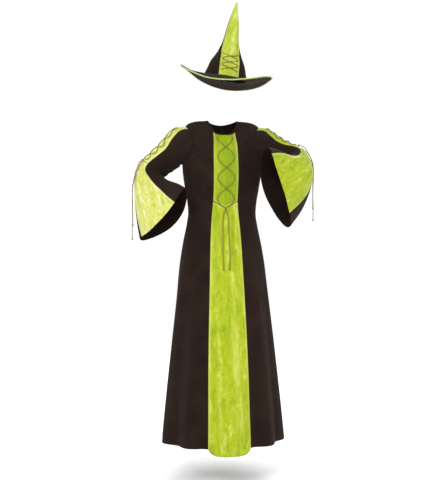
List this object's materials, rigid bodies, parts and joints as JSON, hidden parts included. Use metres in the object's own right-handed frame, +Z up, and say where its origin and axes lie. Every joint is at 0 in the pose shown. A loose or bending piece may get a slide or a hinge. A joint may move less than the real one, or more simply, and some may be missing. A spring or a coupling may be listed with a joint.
{
  "type": "witch costume of a long dress and a pointed hat",
  "caption": "Long hollow dress with laced bodice, lime centre panels and laced bell sleeves, worn open at neck, cuffs and hem, with a matching pointed hat.",
  "frame": {"origin": "between the shoulders, where the wearer carries the dress", "axes": "+Z up, -Y towards the front of the dress, +X towards the wearer's left"},
  "size_m": [0.8111, 0.5362, 1.9848],
  "materials": {
    "black_cloth": "matt black jersey with a faint nap",
    "lime_velvet": "crushed panne velvet, bright lime with a soft mottled sheen",
    "lace_cord": "round old-gold satin cord",
    "lime_piping": "pale lime satin piping"
  },
  "bodies": {
    "root": {"front_side_left": "black_cloth", "front_side_right": "black_cloth", "back_left": "black_cloth", "back_right": "black_cloth", "neck_binding": "black_cloth", "sleeve_right_front": "black_cloth", "sleeve_right_back": "black_cloth", "sleeve_left_front": "black_cloth", "sleeve_left_back": "black_cloth", "hat_crown_left": "black_cloth", "hat_crown_right": "black_cloth", "hat_brim": "black_cloth", "bodice_front_centre": "lime_velvet", "skirt_front_centre": "lime_velvet", "sleeve_right_strip": "lime_velvet", "sleeve_right_godet": "lime_velvet", "sleeve_left_strip": "lime_velvet", "sleeve_left_godet": "lime_velvet", "hat_crown_front": "lime_velvet", "bodice_lacing": "lace_cord", "bodice_lace_knot": "lace_cord", "sleeve_right_lacing": "lace_cord", "sleeve_right_lace_knot": "lace_cord", "sleeve_left_lacing": "lace_cord", "sleeve_left_lace_knot": "lace_cord", "hat_lacing": "lace_cord", "bodice_lace_end_right": "lace_cord", "bodice_lace_end_left": "lace_cord", "sleeve_right_lace_end_long": "lace_cord", "sleeve_right_lace_end_short": "lace_cord", "sleeve_left_lace_end_long": "lace_cord", "sleeve_left_lace_end_short": "lace_cord", "hat_piping": "lime_piping"}
  },
  "joints": []
}
